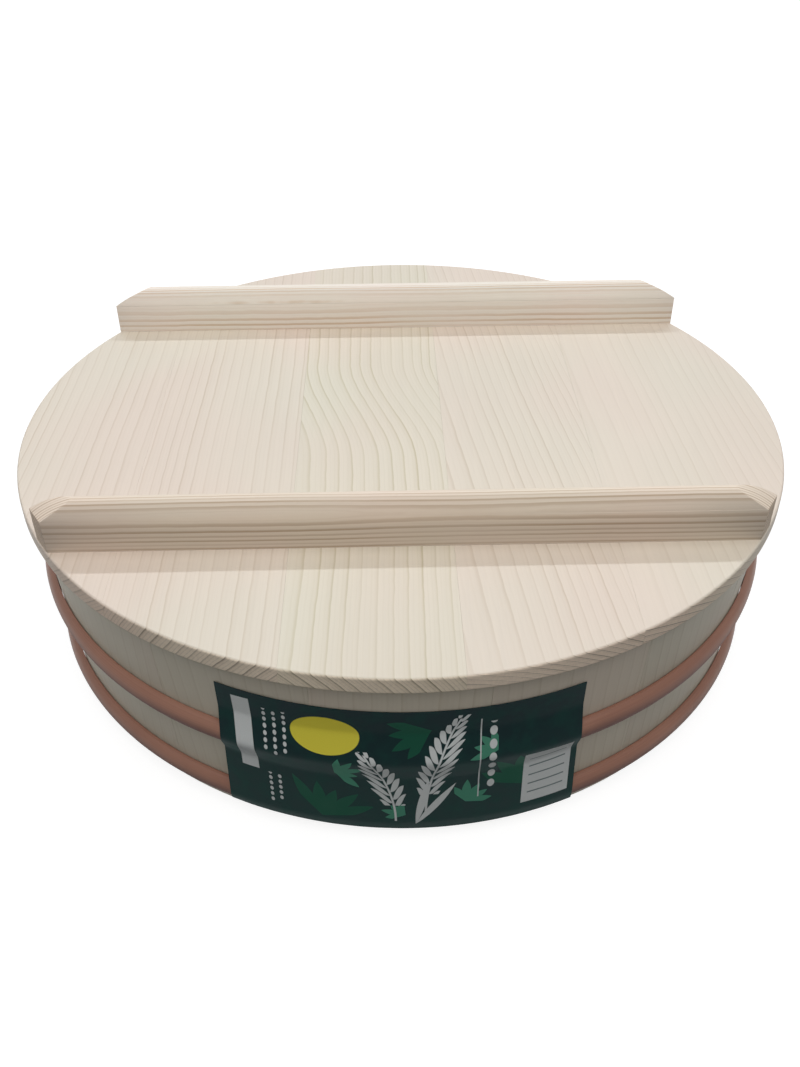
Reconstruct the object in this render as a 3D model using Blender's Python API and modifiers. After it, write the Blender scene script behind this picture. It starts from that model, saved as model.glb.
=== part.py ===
"""Round wooden rice tub with a flat lid on two battens.

Units are metres, +Z is up and the front, where the label is, faces -Y.
The origin is at the middle of the foot, on the surface the tub stands on.
Azimuths turn about the tub's axis from the front, and are positive to the right.
"""

import math

import bmesh
import bpy
from mathutils import Matrix, Vector

# Clearance between two pieces that touch
FIT_GAP = 0.0003

# Lid
LID_RADIUS = 0.180
LID_OVERHANG = 0.0045
LID_THICKNESS = 0.0078
LID_CHAMFER = 0.0008
LID_JOINTS = (-0.118, -0.048, 0.020, 0.088)

# Tub wall, which is wider at the rim than at the foot
TUB_HEIGHT = 0.0904
WALL_FLARE = 0.0065
WALL_THICKNESS = 0.0125
EDGE_CHAMFER = 0.0010
STAVE_COUNT = 16
STAVE_STEPS = 4
FIRST_JOINT_AZIMUTH = math.radians(10)

# Floor of the tub and the groove that holds it
FLOOR_UNDERSIDE = 0.007
FLOOR_THICKNESS = 0.010
GROOVE_DEPTH = 0.004
FLOOR_JOINTS = (-0.080, 0.0, 0.080)
ROUND_SEGMENTS = 72

# Pins between the staves, dowels between the floor boards, pegs that hold the battens
PIN_RADIUS = 0.0015
PIN_LENGTH = 0.024
PIN_HEIGHT = 0.068
PIN_SIDES = 8
DOWEL_LENGTH = 0.030
PEG_LENGTH = 0.0161

# Hoops: half-round bands that follow the wall's taper
HOOP_HEIGHT = 0.0110
HOOP_DEPTH = 0.0045
HOOP_LOWER_HEIGHT = 0.0119
HOOP_UPPER_HEIGHT = 0.0491
HOOP_ARC_STEPS = 7

# Battens across the lid, each set back from the lid's front or back edge
BATTEN_SETBACK = 0.0812
BATTEN_THICKNESS = 0.0100
BATTEN_HEIGHT = 0.0235
BATTEN_SHOULDER = 0.0150
BATTEN_CROWN_POWER = 2.6
BATTEN_CROWN_STEPS = 10
BATTEN_END_LENGTH = 0.0135
BATTEN_END_ARCH = 0.4
BATTEN_END_STEPS = 4
BATTEN_INSET = 0.0005

# Label round the front of the tub: a straight strip of paper on the wall, stretched over both hoops and
# tucked in between them. Its reaches run along the paper from the middle of the front. On the tapered wall
# its ends rise, and its lowest place is a little to the right.
LABEL_LEFT_REACH = 0.0770
LABEL_RIGHT_REACH = 0.0694
LABEL_LOWEST_AZIMUTH = math.radians(5)
LABEL_TOP = 0.0759
LABEL_BOTTOM = 0.0064
LABEL_LEAVES_WALL = 0.0630
LABEL_TUCK_HEIGHT = 0.0390
LABEL_TUCK_AT_SIDES = 0.0010
LABEL_TUCK_IN_MIDDLE = 0.0026
LABEL_FOOT_STAND_OFF = 0.0036
LABEL_THICKNESS = 0.0004
LABEL_GAP = 0.0004
LABEL_STEPS = 18

STAVE_ANGLE = 2 * math.pi / STAVE_COUNT
RIM_RADIUS = LID_RADIUS - LID_OVERHANG
FOOT_RADIUS = RIM_RADIUS - WALL_FLARE
BATTEN_OFFSET = LID_RADIUS - BATTEN_SETBACK
LID_UNDERSIDE = TUB_HEIGHT + FIT_GAP
LID_TOP = LID_UNDERSIDE + LID_THICKNESS


def wall_radius(height):
    """Outer radius of the tapered wall at a height above the foot."""
    return FOOT_RADIUS + WALL_FLARE * height / TUB_HEIGHT


def inner_radius(height):
    return wall_radius(height) - WALL_THICKNESS


def around(radius, azimuth, height):
    """Point at an azimuth counted from the front, positive to the right."""
    return Vector((radius * math.sin(azimuth), -radius * math.cos(azimuth), height))


def clear_scene():
    for thing in list(bpy.data.objects):
        bpy.data.objects.remove(thing, do_unlink=True)


def make_collection(name):
    collection = bpy.data.collections.new(name)
    bpy.context.scene.collection.children.link(collection)
    return collection


def make_material(name, colour, roughness):
    material = bpy.data.materials.new(name)
    material.use_nodes = True
    shader = material.node_tree.nodes["Principled BSDF"]
    shader.inputs["Base Color"].default_value = (*colour, 1.0)
    shader.inputs["Roughness"].default_value = roughness
    shader.inputs["Metallic"].default_value = 0.0
    return material


def mesh_from(bm, name):
    """Turn a bmesh into a mesh with faces pointing out and round sides smooth."""
    bmesh.ops.recalc_face_normals(bm, faces=bm.faces)
    mesh = bpy.data.meshes.new(name)
    bm.to_mesh(mesh)
    bm.free()
    mesh.shade_smooth()
    mesh.set_sharp_from_angle(angle=math.radians(35))
    return mesh


def add_piece(name, mesh, material, parent):
    if not mesh.materials:
        mesh.materials.append(material)
    piece = bpy.data.objects.new(name, mesh)
    piece.parent = parent
    pieces.objects.link(piece)
    return piece


def add_pivot(name, location):
    pivot = bpy.data.objects.new(name, None)
    pivot.location = location
    pieces.objects.link(pivot)
    return pivot


def add_cutter(name, mesh):
    cutter = bpy.data.objects.new(name, mesh)
    cutter.display_type = "WIRE"
    cutter.hide_render = True
    cutters.objects.link(cutter)
    return cutter


def cut(piece, cutter):
    boolean = piece.modifiers.new("holes", "BOOLEAN")
    boolean.operation = "DIFFERENCE"
    boolean.solver = "EXACT"
    boolean.object = cutter


def polygon_face(bm, points):
    return bm.faces.new([bm.verts.new(point) for point in points])


def spin_about_axis(bm, geometry, angle, steps):
    bmesh.ops.spin(
        bm, geom=geometry, cent=(0, 0, 0), axis=(0, 0, 1), dvec=(0, 0, 0), angle=angle, steps=steps
    )


def pin_mesh(name, radius, length, places):
    """Round pins of one size in one mesh. Each place is a centre and the pin's direction."""
    bm = bmesh.new()
    for centre, direction in places:
        turn = direction.to_track_quat("Z", "Y").to_matrix().to_4x4()
        bmesh.ops.create_cone(
            bm,
            cap_ends=True,
            segments=PIN_SIDES,
            radius1=radius,
            radius2=radius,
            depth=length,
            matrix=Matrix.Translation(centre) @ turn,
        )
    return mesh_from(bm, name)


def disc(radius, thickness, underside, chamfer):
    """Flat round board with a small chamfer round both of its edges."""
    bm = bmesh.new()
    middle = Matrix.Translation((0, 0, underside + thickness / 2))
    bmesh.ops.create_cone(
        bm,
        cap_ends=True,
        segments=ROUND_SEGMENTS,
        radius1=radius,
        radius2=radius,
        depth=thickness,
        matrix=middle,
    )
    rims = [edge for edge in bm.edges if abs(edge.verts[0].co.z - edge.verts[1].co.z) < chamfer]
    bmesh.ops.bevel(bm, geom=rims, offset=chamfer, segments=1, affect="EDGES")
    return bm


def saw_off(bm, position, direction):
    """Remove what lies past a plane and close the cut."""
    everything = bm.verts[:] + bm.edges[:] + bm.faces[:]
    result = bmesh.ops.bisect_plane(
        bm, geom=everything, dist=1e-7, plane_co=position, plane_no=direction, clear_outer=True
    )
    cut_edges = [item for item in result["geom_cut"] if isinstance(item, bmesh.types.BMEdge)]
    bmesh.ops.contextual_create(bm, geom=cut_edges)


def board_meshes(name, joints, radius, thickness, underside, chamfer):
    """A round board made of strips that run front to back and meet at the joints."""
    lefts = [None, *joints]
    rights = [*joints, None]
    meshes = []
    for number, (left, right) in enumerate(zip(lefts, rights), start=1):
        bm = disc(radius, thickness, underside, chamfer)
        if left is not None:
            saw_off(bm, (left + FIT_GAP / 2, 0, 0), (-1, 0, 0))
        if right is not None:
            saw_off(bm, (right - FIT_GAP / 2, 0, 0), (1, 0, 0))
        meshes.append(mesh_from(bm, f"{name}_{number}"))
    return meshes


def baked_mesh(piece, name):
    """The piece's mesh with its modifiers applied; the piece itself is removed."""
    evaluated = piece.evaluated_get(bpy.context.evaluated_depsgraph_get())
    mesh = bpy.data.meshes.new_from_object(evaluated)
    mesh.name = name
    bpy.data.objects.remove(piece, do_unlink=True)
    return mesh


def joint_pin_place(azimuth):
    """A pin crosses the joint between two staves, in the middle of the wall."""
    radius = wall_radius(PIN_HEIGHT) - WALL_THICKNESS / 2
    along = Vector((math.cos(azimuth), math.sin(azimuth), 0))
    return around(radius, azimuth, PIN_HEIGHT), along


def stave_mesh():
    """One stave, centred on the front: outer face, rim, inner face with the floor groove, foot."""
    groove_low = FLOOR_UNDERSIDE - FIT_GAP
    groove_high = FLOOR_UNDERSIDE + FLOOR_THICKNESS + FIT_GAP
    profile = [
        (wall_radius(0) - EDGE_CHAMFER, 0),
        (wall_radius(EDGE_CHAMFER), EDGE_CHAMFER),
        (wall_radius(TUB_HEIGHT - EDGE_CHAMFER), TUB_HEIGHT - EDGE_CHAMFER),
        (wall_radius(TUB_HEIGHT) - EDGE_CHAMFER, TUB_HEIGHT),
        (inner_radius(TUB_HEIGHT) + EDGE_CHAMFER, TUB_HEIGHT),
        (inner_radius(TUB_HEIGHT - EDGE_CHAMFER), TUB_HEIGHT - EDGE_CHAMFER),
        (inner_radius(groove_high), groove_high),
        (inner_radius(groove_high) + GROOVE_DEPTH, groove_high),
        (inner_radius(groove_low) + GROOVE_DEPTH, groove_low),
        (inner_radius(groove_low), groove_low),
        (inner_radius(0), 0),
    ]
    clearance = FIT_GAP / RIM_RADIUS
    sweep = STAVE_ANGLE - clearance
    bm = bmesh.new()
    face = polygon_face(bm, [around(radius, -sweep / 2, height) for radius, height in profile])
    spin_about_axis(bm, [face, *face.edges, *face.verts], sweep, STAVE_STEPS)
    plain = add_piece("plain_stave", mesh_from(bm, "plain_stave"), stave_wood, None)
    half = STAVE_ANGLE / 2
    places = [joint_pin_place(-half), joint_pin_place(half)]
    holes = pin_mesh("stave_holes", PIN_RADIUS + FIT_GAP, PIN_LENGTH + 2 * FIT_GAP, places)
    cut(plain, add_cutter("stave_holes", holes))
    return baked_mesh(plain, "stave")


def make_staves():
    stave = stave_mesh()
    pin = pin_mesh("stave_pin", PIN_RADIUS, PIN_LENGTH, [joint_pin_place(0)])
    for number in range(STAVE_COUNT):
        joint = FIRST_JOINT_AZIMUTH + number * STAVE_ANGLE
        piece = add_piece(f"stave_{number + 1:02d}", stave, stave_wood, tub)
        piece.rotation_euler.z = joint + STAVE_ANGLE / 2
        dowel = add_piece(f"stave_pin_{number + 1:02d}", pin, bamboo, tub)
        dowel.rotation_euler.z = joint


def make_floor():
    """Strips that sit in the groove round the inside of the wall, pinned edge to edge."""
    radius = inner_radius(FLOOR_UNDERSIDE) + GROOVE_DEPTH - FIT_GAP
    boards = board_meshes("floor_board", FLOOR_JOINTS, radius, FLOOR_THICKNESS, FLOOR_UNDERSIDE, EDGE_CHAMFER)
    middle = FLOOR_UNDERSIDE + FLOOR_THICKNESS / 2
    along = Vector((1, 0, 0))
    places = [(Vector((joint, 0, middle)), along) for joint in FLOOR_JOINTS]
    holes = pin_mesh("floor_holes", PIN_RADIUS + FIT_GAP, DOWEL_LENGTH + 2 * FIT_GAP, places)
    cutter = add_cutter("floor_holes", holes)
    for number, mesh in enumerate(boards, start=1):
        cut(add_piece(f"floor_board_{number}", mesh, floor_wood, tub), cutter)
    for number, place in enumerate(places, start=1):
        name = f"floor_dowel_{number}"
        add_piece(name, pin_mesh(name, PIN_RADIUS, DOWEL_LENGTH, [place]), bamboo, tub)


def hoop_section(height):
    """Half-round section against the wall, from its top edge over the outside to its bottom edge."""
    points = []
    for step in range(HOOP_ARC_STEPS + 1):
        angle = math.pi / 2 - math.pi * step / HOOP_ARC_STEPS
        level = height + HOOP_HEIGHT / 2 * math.sin(angle)
        points.append((wall_radius(level) + FIT_GAP + HOOP_DEPTH * math.cos(angle), level))
    return points


def make_hoop(name, height):
    bm = bmesh.new()
    corners = [bm.verts.new((radius, 0, level)) for radius, level in hoop_section(height)]
    for index, corner in enumerate(corners):
        bm.edges.new((corner, corners[(index + 1) % len(corners)]))
    mesh = bpy.data.meshes.new(name)
    bm.to_mesh(mesh)
    bm.free()
    hoop = add_piece(name, mesh, hoop_plastic, tub)
    hoop.rotation_euler.z = FIRST_JOINT_AZIMUTH - math.pi / 2
    turned = hoop.modifiers.new("turned", "SCREW")
    turned.axis = "Z"
    turned.angle = 2 * math.pi
    turned.steps = STAVE_COUNT * STAVE_STEPS
    turned.render_steps = STAVE_COUNT * STAVE_STEPS
    turned.use_smooth_shade = True
    turned.use_merge_vertices = True
    turned.merge_threshold = 0.00001


def label_profile(azimuth, side_share):
    """The label's line down the wall at an azimuth. side_share is 0 in its middle and 1 at its sides."""
    def off_wall(height, stand_off=0.0):
        return wall_radius(height) + LABEL_GAP + stand_off, height

    over_hoop = LABEL_GAP + FIT_GAP
    upper, lower = (
        [(radius + over_hoop, level) for radius, level in hoop_section(height)[2:HOOP_ARC_STEPS - 1]]
        for height in (HOOP_UPPER_HEIGHT, HOOP_LOWER_HEIGHT)
    )
    rise = RIM_RADIUS * WALL_FLARE / TUB_HEIGHT / 2 * (azimuth - LABEL_LOWEST_AZIMUTH) ** 2
    tuck = LABEL_TUCK_IN_MIDDLE + (LABEL_TUCK_AT_SIDES - LABEL_TUCK_IN_MIDDLE) * side_share
    return [
        off_wall(LABEL_TOP + rise),
        off_wall(LABEL_LEAVES_WALL),
        *upper,
        off_wall(LABEL_TUCK_HEIGHT, tuck),
        *lower,
        off_wall(LABEL_BOTTOM + rise, LABEL_FOOT_STAND_OFF),
    ]


def make_label():
    """Strip on the wall and over both hoops. Paper keeps its width, so it spans less of a wider round."""
    bm = bmesh.new()
    columns = []
    for step in range(LABEL_STEPS + 1):
        share = step / LABEL_STEPS
        reach = -LABEL_LEFT_REACH + (LABEL_LEFT_REACH + LABEL_RIGHT_REACH) * share
        profile = label_profile(reach / RIM_RADIUS, (2 * share - 1) ** 2)
        columns.append([bm.verts.new(around(radius, reach / radius, level)) for radius, level in profile])
    for left, right in zip(columns, columns[1:]):
        for corners in zip(left, right, right[1:], left[1:]):
            bm.faces.new(corners)
    bmesh.ops.recalc_face_normals(bm, faces=bm.faces)
    if bm.faces[:][0].normal.y > 0:
        bmesh.ops.reverse_faces(bm, faces=bm.faces)
    mesh = bpy.data.meshes.new("label_band")
    bm.to_mesh(mesh)
    bm.free()
    mesh.shade_smooth()
    band = add_piece("label_band", mesh, label_paper, tub)
    sheet = band.modifiers.new("sheet", "SOLIDIFY")
    sheet.thickness = LABEL_THICKNESS
    sheet.offset = 1


def batten_section():
    """Upright sides under a crown between a half ellipse and a flat top."""
    half = BATTEN_THICKNESS / 2
    points = [(-half, 0)]
    for step in range(BATTEN_CROWN_STEPS + 1):
        angle = math.pi * step / BATTEN_CROWN_STEPS
        across = -math.copysign(abs(math.cos(angle)) ** (2 / BATTEN_CROWN_POWER), math.cos(angle))
        up = max(0.0, math.sin(angle)) ** (2 / BATTEN_CROWN_POWER)
        points.append((half * across, BATTEN_SHOULDER + (BATTEN_HEIGHT - BATTEN_SHOULDER) * up))
    points.append((half, 0))
    return points


def batten_end_line():
    """The sloped top of an end, as pairs of distance inwards and height, gently arched."""
    rise = BATTEN_HEIGHT - BATTEN_SHOULDER
    points = []
    for step in range(BATTEN_END_STEPS + 1):
        share = step / BATTEN_END_STEPS
        climb = rise * share * (1 + BATTEN_END_ARCH * (1 - share))
        points.append((BATTEN_END_LENGTH * share, BATTEN_SHOULDER + climb))
    return points


def batten_mesh(name, offset):
    """Batten cut to the lid's round edge, with the top of both ends sloped."""
    underside = LID_TOP + FIT_GAP
    reach = math.sqrt((LID_RADIUS - BATTEN_INSET) ** 2 - offset ** 2)
    bm = bmesh.new()
    corners = [(-LID_RADIUS, offset + across, underside + up) for across, up in batten_section()]
    face = polygon_face(bm, corners)
    grown = bmesh.ops.extrude_face_region(bm, geom=[face])
    moved = [item for item in grown["geom"] if isinstance(item, bmesh.types.BMVert)]
    bmesh.ops.translate(bm, verts=moved, vec=(2 * LID_RADIUS, 0, 0))
    upright = Vector((0, 0, 1))
    line = batten_end_line()
    for side in (-1, 1):
        end = Vector((side * reach, offset, underside))
        outwards = Vector((end.x, end.y, 0)).normalized()
        saw_off(bm, end, outwards)
        for (inwards, up), (next_inwards, next_up) in zip(line, line[1:]):
            slope = math.atan2(next_up - up, next_inwards - inwards)
            point = end - outwards * inwards + upright * up
            saw_off(bm, point, outwards * math.sin(slope) + upright * math.cos(slope))
    return mesh_from(bm, name)


def peg_positions(offset):
    """One peg in the middle of each lid board's share of the batten."""
    reach = math.sqrt(LID_RADIUS ** 2 - offset ** 2)
    bounds = [-reach, *LID_JOINTS, reach]
    centre_height = LID_UNDERSIDE + PEG_LENGTH / 2
    return [Vector(((left + right) / 2, offset, centre_height)) for left, right in zip(bounds, bounds[1:])]


def make_lid():
    upright = Vector((0, 0, 1))
    battens = {"front": -BATTEN_OFFSET, "back": BATTEN_OFFSET}
    places = [(centre, upright) for offset in battens.values() for centre in peg_positions(offset)]
    holes = pin_mesh("peg_holes", PIN_RADIUS + FIT_GAP, PEG_LENGTH + 2 * FIT_GAP, places)
    cutter = add_cutter("peg_holes", holes)
    to_lid = Matrix.Translation((0, 0, -LID_UNDERSIDE))
    boards = board_meshes("lid_board", LID_JOINTS, LID_RADIUS, LID_THICKNESS, LID_UNDERSIDE, LID_CHAMFER)
    for number, mesh in enumerate(boards, start=1):
        mesh.transform(to_lid)
        cut(add_piece(f"lid_board_{number}", mesh, lid_wood, lid), cutter)
    for side, offset in battens.items():
        mesh = batten_mesh(f"batten_{side}", offset)
        mesh.transform(to_lid)
        cut(add_piece(f"batten_{side}", mesh, batten_wood, lid), cutter)
        for number, centre in enumerate(peg_positions(offset), start=1):
            name = f"batten_peg_{side}_{number}"
            mesh = pin_mesh(name, PIN_RADIUS, PEG_LENGTH, [(centre, upright)])
            mesh.transform(to_lid)
            add_piece(name, mesh, bamboo, lid)


clear_scene()
pieces = make_collection("rice_tub")
cutters = make_collection("cutters")

stave_wood = make_material("stave_wood", (0.60, 0.50, 0.38), 0.60)
floor_wood = make_material("floor_wood", (0.68, 0.58, 0.44), 0.60)
lid_wood = make_material("lid_wood", (0.78, 0.70, 0.56), 0.55)
batten_wood = make_material("batten_wood", (0.80, 0.72, 0.58), 0.50)
bamboo = make_material("bamboo", (0.62, 0.52, 0.30), 0.50)
hoop_plastic = make_material("hoop_plastic", (0.33, 0.11, 0.05), 0.40)
label_paper = make_material("label_paper", (0.02, 0.03, 0.035), 0.45)

tub = add_pivot("tub_base", (0, 0, 0))
lid = add_pivot("lid_lift_axis", (0, 0, LID_UNDERSIDE))
make_staves()
make_floor()
make_hoop("hoop_lower", HOOP_LOWER_HEIGHT)
make_hoop("hoop_upper", HOOP_UPPER_HEIGHT)
make_label()
make_lid()
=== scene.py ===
"""Wooden rice tub with its lid: fine shapes, the finish of every surface, floor, light and camera."""
import math
import random

import bmesh
import bpy
from mathutils import Matrix, Quaternion, Vector, noise


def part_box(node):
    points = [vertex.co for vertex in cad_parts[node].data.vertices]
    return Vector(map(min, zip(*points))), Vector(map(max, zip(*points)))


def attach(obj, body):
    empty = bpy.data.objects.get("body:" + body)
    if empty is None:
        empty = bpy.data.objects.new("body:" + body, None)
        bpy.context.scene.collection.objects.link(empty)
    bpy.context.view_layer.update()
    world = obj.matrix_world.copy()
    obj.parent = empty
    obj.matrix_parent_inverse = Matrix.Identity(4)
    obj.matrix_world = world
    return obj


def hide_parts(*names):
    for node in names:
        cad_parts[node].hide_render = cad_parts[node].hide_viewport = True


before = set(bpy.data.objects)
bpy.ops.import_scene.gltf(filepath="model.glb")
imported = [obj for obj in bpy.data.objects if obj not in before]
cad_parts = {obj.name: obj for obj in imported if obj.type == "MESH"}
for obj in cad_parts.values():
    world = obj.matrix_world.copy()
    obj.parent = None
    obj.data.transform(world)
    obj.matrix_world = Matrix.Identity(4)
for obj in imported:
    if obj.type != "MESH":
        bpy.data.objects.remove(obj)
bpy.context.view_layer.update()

# Counts of the pieces, and sizes read from the solids
BOARD_COUNT = 5
STAVE_COUNT = 16
FLOOR_BOARD_COUNT = 4
LID_RADIUS = -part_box("lid_board_1")[0].x
LID_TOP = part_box("lid_board_1")[1].z
RIM_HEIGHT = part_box("stave_01")[1].z
FLOOR_LOW, FLOOR_HIGH = (corner.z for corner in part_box("floor_board_1"))
BATTEN_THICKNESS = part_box("batten_front")[1].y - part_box("batten_front")[0].y
BATTEN_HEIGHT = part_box("batten_front")[1].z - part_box("batten_front")[0].z

# Edges and joints, in metres
JOINT_GAP = 0.00004
JOINT_CHAMFER = 0.00012
LID_ROUNDING = 0.0011
FLOOR_ROUNDING = 0.0008
RIM_ROUNDING = 0.0012
ROUNDING_STEPS = 4
SMOOTH_ANGLE = math.radians(40)

# Boards of the lid and the floor. An edge is a joint's where it is longer than this share of the radius
DISC_SEGMENTS = 360
JOINT_EDGE_SHARE = 0.2

# Wall and hoops. A solid's point is at a height where it lies within LEVEL_TOLERANCE of it
STAVE_STEPS = 10
STAVE_SEED = 16
STAVE_LOG_LENGTH = 3
RIM_EDGE = 0.0010
LEVEL_TOLERANCE = 0.0002
GROOVE_FIT = 0.0003
HOOP_STEPS = 256
HOOP_ARC_STEPS = 20
HOOP_SEAT = 0.0003

# Battens
BATTEN_SHOULDER = 0.0150
BATTEN_CROWN_POWER = 2.0
BATTEN_CROWN_STEPS = 36
BATTEN_END_LENGTH = 0.0135
BATTEN_END_ARCH = 0.4
BATTEN_END_STEPS = 10
BATTEN_INSET = 0.0005
BATTEN_EDGE = 0.0003
BATTEN_EDGE_STEPS = 2
BATTEN_SHARP_ANGLE = math.radians(20)
BATTEN_SEAT = 0.00026

# Label. Its waves are given as how many come in a metre round and up, their start and their share
LABEL_COLUMNS = 120
LABEL_ROWS = 130
LABEL_GAP = 0.0002
LABEL_THICKNESS = 0.00018
LABEL_WAVE = 0.0002
LABEL_WAVES = ((50, 45, 3.0, 0.6), (170, 20, 8.0, 0.4))
LABEL_LEFT_REACH = 0.0770
LABEL_RIGHT_REACH = 0.0694
LABEL_LOWEST_AZIMUTH = math.radians(5)
LABEL_TOP = 0.0759
LABEL_BOTTOM = 0.0064
LABEL_LEAVES_WALL = 0.0630
LABEL_TUCK_HEIGHT = 0.0390
LABEL_TUCK_AT_SIDES = 0.0008
LABEL_TUCK_IN_MIDDLE = 0.0032
LABEL_FOOT_STAND_OFF = 0.0039
LABEL_SOFTENING = 5
LABEL_PRINT_SCALE = 975
LABEL_RULES = 5

# Wood: how many times a metre each unevenness comes, across and along the grain
DRIFT_RATE = 7
RIPPLE_RATES = (60, 26)
TREMBLE_RATES = (150, 110)
PATCH_RATES = (22, 9)
FIBRE_RATES = (1300, 34)
STREAK_RATES = (330, 6)
CLOUD_RATES = (14, 7)
PORE_RATES = (900, 60)
TINT_RATES = (12, 9)
TINT_START = 4.0
YEAR_WANDER_RATE = 60

# Wood: what each unevenness does, to the lines in metres and to the brightness as a share
RIPPLE_WIDTH = 0.0009
TREMBLE_WIDTH = 0.0006
FIBRE_CONTRAST = 0.05
STREAK_CONTRAST = 0.06
CLOUD_CONTRAST = 0.08
TONE_CONTRAST = 0.05
FAINTEST_LINE = 0.35
HAIR_LINE = 0.10
# Painted shade low on a piece: the height up to which it is full, where it ends, and how much that edge
# wavers
FOOT_SHADE_FROM, FOOT_SHADE_TO = 0.009, 0.017
FOOT_SHADE_WAVER = 0.004
WOOD_ROUGHNESS = 0.55
END_GRAIN_TINT = (1.14, 1.09, 1.04, 1)
COOL_TINT = (0.980, 0.997, 0.968, 1)
WARM_TINT = (1.014, 0.974, 0.962, 1)

# Other materials: how many times a metre their unevenness comes
BAMBOO_FIBRE_RATE = 1400
BAMBOO_PATCH_RATE = 90
DRAWN_RATE_ACROSS, DRAWN_RATE_ALONG = 2600, 9
HOOP_PATCH_RATE, HOOP_PATCH_RATE_UP = 22, 60
HOOP_SPECK_RATE = 900

# Camera, fitted to the lid's ellipse, the hoops and the battens
CAMERA_LENS = 36.117
CAMERA_ELEVATION = math.radians(37.405)
CAMERA_YAW = math.radians(0.961)
CAMERA_ROLL = math.radians(-0.444)
CAMERA_DISTANCE = 0.44609
CAMERA_AIM = Vector((-0.00210, -0.09506, LID_TOP))
CAMERA_NEAR = 0.01

# Light. The floor's bounce is its colour for scattered light, its white and glow what is seen of it
KEY_PLACE = (0, 1.18, 1.90)
KEY_SIZE = (2.4, 0.06)
KEY_POWER = 15.2
KEY_COLOUR = (0.90, 1.0, 1.10)
PANEL_PLACE = (0, -0.45, 1.35)
PANEL_SIZE = (1.8, 1.8)
PANEL_POWER = 12.8
FILL_COLOUR = (1.025, 1.0, 0.978)
AMBIENT = 0.25
FLOOR_BOUNCE = 0.05
FLOOR_RADIUS = 12.0
FLOOR_SEGMENTS = 96
FLOOR_WHITE = 0.36
FLOOR_GLOW_NEAR = 0.84
FLOOR_GLOW_FAR = 1.0
FLOOR_FADE_START = 0.35
FLOOR_FADE_END = 1.3


def display(red, green, blue):
    """Linear colour of an 8-bit display colour."""
    return (*(linear(level / 255) for level in (red, green, blue)), 1)


def linear(level):
    if level <= 0.04045:
        return level / 12.92
    return ((level + 0.055) / 1.055) ** 2.4


class Signal:
    """A number or colour that a node gives, used with Python's operators."""

    def __init__(self, paint, socket):
        self.paint = paint
        self.socket = socket

    def __add__(self, other):
        return self.paint.math("ADD", self, other)

    def __radd__(self, other):
        return self.paint.math("ADD", other, self)

    def __sub__(self, other):
        return self.paint.math("SUBTRACT", self, other)

    def __rsub__(self, other):
        return self.paint.math("SUBTRACT", other, self)

    def __mul__(self, other):
        return self.paint.math("MULTIPLY", self, other)

    def __rmul__(self, other):
        return self.paint.math("MULTIPLY", other, self)

    def __truediv__(self, other):
        return self.paint.math("DIVIDE", self, other)

    def __abs__(self):
        return self.paint.math("ABSOLUTE", self)


class Paint:
    """The nodes of one material."""

    def __init__(self, name, **surface):
        self.material = bpy.data.materials.new(name)
        self.material.use_nodes = True
        self.tree = self.material.node_tree
        self.shader = self.tree.nodes["Principled BSDF"]
        for socket, value in surface.items():
            self.surface(socket.replace("_", " "), value)

    def surface(self, socket, value):
        self.feed(self.shader.inputs[socket], value)

    def feed(self, socket, value):
        if isinstance(value, Signal):
            self.tree.links.new(value.socket, socket)
        else:
            socket.default_value = value

    def node(self, kind, inputs, output=0, **settings):
        made = self.tree.nodes.new(kind)
        for setting, value in settings.items():
            setattr(made, setting, value)
        for socket, value in inputs.items():
            self.feed(made.inputs[socket], value)
        return Signal(self, made.outputs[output])

    def math(self, operation, *values):
        return self.node("ShaderNodeMath", dict(enumerate(values)), operation=operation)

    def vector(self, x, y, z):
        return self.node("ShaderNodeCombineXYZ", {"X": x, "Y": y, "Z": z})

    def split(self, source):
        made = self.tree.nodes.new("ShaderNodeSeparateXYZ")
        self.feed(made.inputs[0], source)
        return [Signal(self, output) for output in made.outputs]

    def attribute(self, name, output):
        return self.node("ShaderNodeAttribute", {}, output, attribute_name=name)

    def coordinate(self, output):
        return self.node("ShaderNodeTexCoord", {}, output)

    def noise(self, place, detail=2.0, roughness=0.5):
        inputs = {"Vector": place, "Scale": 1.0, "Detail": detail, "Roughness": roughness}
        return self.node("ShaderNodeTexNoise", inputs)

    def chance(self, value):
        """An even random number for each whole number."""
        return self.node("ShaderNodeTexWhiteNoise", {"W": value}, "Value", noise_dimensions="1D")

    def ramp(self, value, low, high, start=0.0, end=1.0):
        """Smooth step from start at low to end at high."""
        inputs = {"Value": value, "From Min": low, "From Max": high, "To Min": start, "To Max": end}
        return self.node("ShaderNodeMapRange", inputs, interpolation_type="SMOOTHSTEP")

    def mix(self, share, first, second, blend="MIX"):
        inputs = {0: share, 6: first, 7: second}
        return self.node("ShaderNodeMix", inputs, 2, data_type="RGBA", blend_type=blend)

    def grey(self, value):
        """A colour whose three parts are the value."""
        return self.node("ShaderNodeCombineColor", {"Red": value, "Green": value, "Blue": value})

    def bump(self, height, strength, distance):
        inputs = {"Height": height, "Strength": strength, "Distance": distance}
        self.surface("Normal", self.node("ShaderNodeBump", inputs))


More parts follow.
